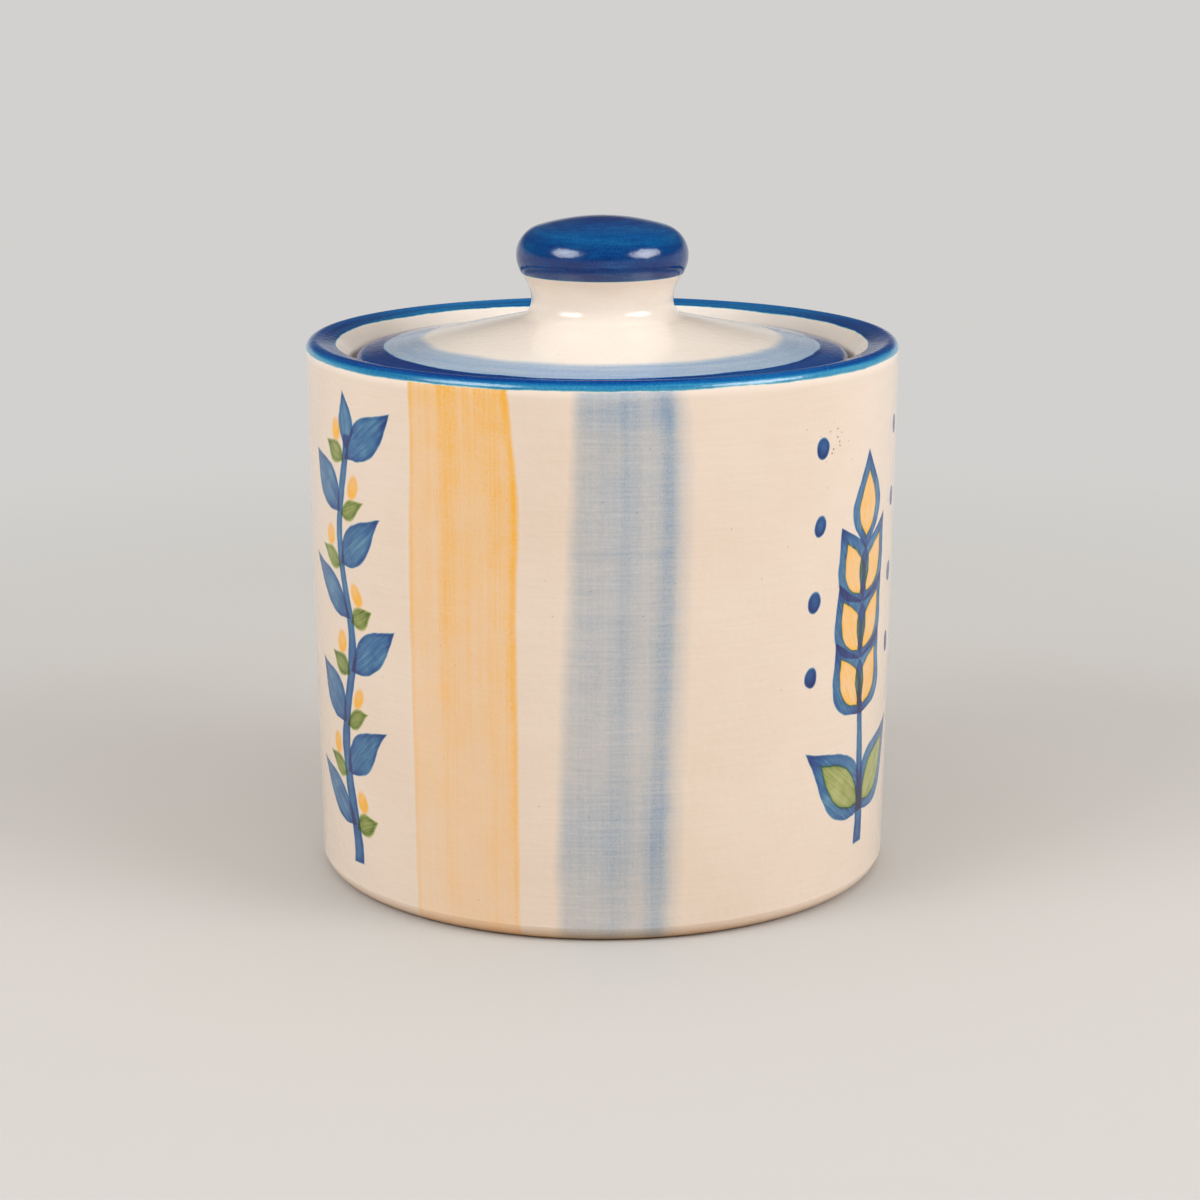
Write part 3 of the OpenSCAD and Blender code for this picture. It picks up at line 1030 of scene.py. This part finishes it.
def ear(drawing):
    """Draws the ear of corn."""
    pot = drawing.pot
    place = swayed(pot, sketch(pot, EAR_AT), swing=1.2, pitch=90)
    drawing.paint("blue", stem(pot, place, EAR_FOOT, EAR_FROM + 4, width=4.2), thickness=3.0)
    grains = [(leaf(pot, place, (0, 93), lean=0, length=20, width=12.5), None)]
    for side in (-1, 1):
        for first, count in ((EAR_FROM, 2), (EAR_FROM + GRAIN_PITCH, 1)):
            local, whole = rows(pot, place, first, 2 * GRAIN_PITCH, count)
            grain = leaf(pot, local, (1.2 * side, 0), lean=-30 * side, length=19, width=12)
            grains.append((grain, whole))
        blade = leaf(pot, place, (0.5 * side, 24), lean=-52 * side, length=26, width=13)
        drawing.paint("green", drawing.outline("blue", blade, thickness=3.2), thickness=1.7)
        local, whole = rows(pot, place, DOTS_FROM, DOT_PITCH, count=4)
        dab = dot(pot, local, (21.5 * side, 0), width=4.2, height=5.0)
        drawing.paint("blue", dab, thickness=4.5, where=whole)
    for grain, whole in grains:
        middle = drawing.outline("blue", grain, thickness=3.2, where=whole)
        drawing.paint("orange", middle, thickness=0.8, where=whole)


print("grains of the ear every", GRAIN_PITCH, "mm, dots every", DOT_PITCH, "mm")

# %% [markdown]
# ## Finish of the jar
# The jar's paint lies on its outside only. Both stripes have fine upright lines from the bristles. The
# watery blue also caught on the turning lines of the clay, so it looks like woven cloth, while the thick
# orange has soft blots.

# %% Stripes on the jar
WALL_R = RIM_R - 4.5
ORANGE_COVER, ORANGE_WANDER = 0.58, 0.12
BLUE_THICK, BLUE_WANDER = 0.53, 0.4
BLOT = 9
BLOT_FROM_TO = 0.35, 0.65
BLOT_THIN, BLOT_THICK = 0.88, 1.12

pot = Pot("painted_stoneware_jar")
outside = pot.add("Math GREATER_THAN", [pot.radius, WALL_R])
grit = pot.add("Math MULTIPLY", [pores(pot, 0.13), outside])

slip = stripe(pot, ORANGE_LEFT, ORANGE_RIGHT, ORANGE_ACROSS, ORANGE_DOWN, ORANGE_WANDER)
slip = pot.add("Math MULTIPLY", [slip, ORANGE_COVER])
brushed = bristles(pot, upright=True, length=50, fine=0.14, broad=0.1)
brushed = pot.add("Math MULTIPLY", [brushed, grit])
blots = pot.add("TexNoise", {"Vector": pot.at, "Scale": 1 / BLOT, "Detail": 4})
blots = pot.add("MapRange", [blots, *BLOT_FROM_TO, BLOT_THIN, BLOT_THICK], clamp=False)
brushed = pot.add("Math MULTIPLY", [brushed, blots])

wash = stripe(pot, BLUE_LEFT, BLUE_RIGHT, BLUE_ACROSS, BLUE_DOWN, BLUE_WANDER)
wash = pot.add("Math MULTIPLY", [wash, BLUE_THICK])
down_lines = bristles(pot, upright=True, length=50, fine=0.07, broad=0.08)
round_lines = bristles(pot, upright=False, length=9, fine=0.12, broad=0.06)
weave = pot.add("Math MULTIPLY", [down_lines, round_lines])
weave = pot.add("Math MULTIPLY", [weave, grit])
wash = pot.add("Math MULTIPLY", [wash, weave])
print("nodes for the two stripes:", len(pot.tree.nodes))

# %% [markdown]
# The drawing has neither weave nor blots, as its brush was soft and full. Its paint only ran together a
# little here and there, so it is darker in some places than in others.

# %% Drawing on the jar
POOL = 5
POOL_THIN, POOL_THICK = 0.8, 1.2

drawing = Drawing(pot)
garland(drawing)
ear(drawing)
wet = pot.add("TexNoise", {"Vector": pot.at, "Scale": 1 / POOL, "Detail": 4})
wet = pot.add("MapRange", [wet, *MOST_NOISE, POOL_THIN, POOL_THICK], clamp=False)
wet = pot.add("Math MULTIPLY", [wet, outside])
for colour, laid in drawing.layers.items():
    drawing.layers[colour] = pot.add("Math MULTIPLY", [laid, wet])
print("the drawing is done in", ", ".join(drawing.layers))

# %% [markdown]
# Last the jar's colours are put together, from the clay to the washes, and glazed. The glaze is left off
# under the foot, and on the ledge inside where the lid rests.

# %% Painted jar
PINHOLES_AT = 48, 120
FOOT_BARE_TO = 0.5, 1.1
LEDGE_WITHIN = 0.5

slip = pot.add("Math MULTIPLY_ADD", [slip, brushed, drawing.layers["orange"]], use_clamp=True)
# The whiter line below the band: partly milky glaze, partly a painted highlight.
milky_and_highlight = pot.add("Math MULTIPLY", [milky_line_and_painted_highlight(pot), outside])
clay = pot.add("Mix", [milky_and_highlight, stoneware(pot, PINHOLES_AT), MILKY_GLAZE_AND_HIGHLIGHT], data_type="RGBA")
washes = [
    (COPPER_GREEN, drawing.layers["green"]),
    (BRUSH_BLUE, drawing.layers["blue"]),
    (WATERY_BLUE, wash),
    (BAND_BLUE, rim_band(pot)),
]
colour = painted(pot, clay, slip, washes)
foot = pot.add("MapRange", [pot.height, *FOOT_BARE_TO, 1, 0])
ledge = pot.add("Math COMPARE", [pot.height, SEAT, LEDGE_WITHIN])
ledge = pot.add("Math SUBTRACT", [ledge, outside], use_clamp=True)
bare = pot.add("Math MAXIMUM", [foot, ledge])
jar.data.materials.append(glazed(pot, colour, bare))

# %% [markdown]
# ## Finish of the lid
# On the lid the same brush drew two rings while it turned on the wheel: first a broad watery one, whose
# inner edge runs out into the cream, and then a dark one round the edge. Both are full of level streaks,
# and neither goes on to the underside.

# %% Painted lid
PALE_FROM_TO, PALE_THICK = (LID_R - 18.8, LID_R - 15.4), 0.86
DARK_FROM, DARK_THICK = LID_R - 7.4, 5.3
RING_SWAY_SIZE, RING_SWAY = (12, 12, 16), 0.5
PAINT_ABOVE = lid_low.z + 10
REST_WITHIN = 0.4

pot = Pot("painted_stoneware_lid")
sway = pot.add("MapRange", [pot.grain(*RING_SWAY_SIZE), *ALL_NOISE, -RING_SWAY, RING_SWAY])
reach = pot.add("Math ADD", [pot.radius, sway])
upper = pot.add("Math GREATER_THAN", [pot.height, PAINT_ABOVE])
lines = bristles(pot, upright=False, length=25, fine=0.12, broad=0.12)
streaks = pot.add("Math MULTIPLY", [lines, pores(pot, 0.12)])
streaks = pot.add("Math MULTIPLY", [streaks, upper])
pale = pot.add("MapRange", [reach, *PALE_FROM_TO, 0, PALE_THICK], interpolation_type="SMOOTHSTEP")
pale = pot.add("Math MULTIPLY", [pale, streaks])
inside = pot.add("Math SUBTRACT", [reach, DARK_FROM])
dark = stroke(pot, inside, DARK_THICK, soft=0.4, pooled=0.1)
dark = pot.add("Math MULTIPLY", [dark, streaks])
colour = painted(pot, stoneware(pot), 0, [(WATERY_BLUE, pale), (BAND_BLUE, dark)])
rest = pot.add("Math COMPARE", [pot.height, SEAT, REST_WITHIN])
lid.data.materials.append(glazed(pot, colour, rest))

# %% [markdown]
# ## Finish of the knob
# The head of the knob was painted last, with the brush held still and the lid turning. The paint ends in a
# crisp line where the head turns under to the neck. It lies thicker, and so darker, on the lower half and
# on the very top, and thinner between.

# %% Painted knob
HEAD_BAND = knob_high.z - 14.33
KNOB_THICK = 5.8
KNOB_THICKNESS_BY_HEIGHT = [(0, 0.45), (0.12, 0.55), (0.3, 0.57), (0.5, 0.51), (0.72, 0.43), (0.88, 0.47), (1, 0.62)]

pot = Pot("painted_stoneware_knob")
above = pot.add("Math SUBTRACT", [pot.height, HEAD_BAND])
band = stroke(pot, above, KNOB_THICK, soft=0.15, pooled=0.1)
share = pot.add("Math DIVIDE", [above, knob_high.z - HEAD_BAND])
# Thicker, so darker, towards the bottom of the head and at its top.
thickness_by_height = pot.add("FloatCurve", {"Value": share}, curve=KNOB_THICKNESS_BY_HEIGHT)
thickness_by_height = pot.add("MapRange", [thickness_by_height, 0, 1, 0, MOST_PAINT])
lines = bristles(pot, upright=False, length=14, fine=0.07, broad=0.12)
streaks = pot.add("Math MULTIPLY", [lines, thickness_by_height])
streaks = pot.add("Math MULTIPLY", [streaks, pores(pot, 0.1)])
cobalt = pot.add("Math MULTIPLY", [band, streaks])
colour = painted(pot, stoneware(pot), 0, [(BAND_BLUE, cobalt)])
knob.data.materials.append(glazed(pot, colour))

# %% Sizes and finish
boxes = {"cad": cad_bounds, "visual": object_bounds()}
for name, (low, high) in boxes.items():
    print(name, "box in mm:", [round((b - a) / MM, 1) for a, b in zip(low, high)])
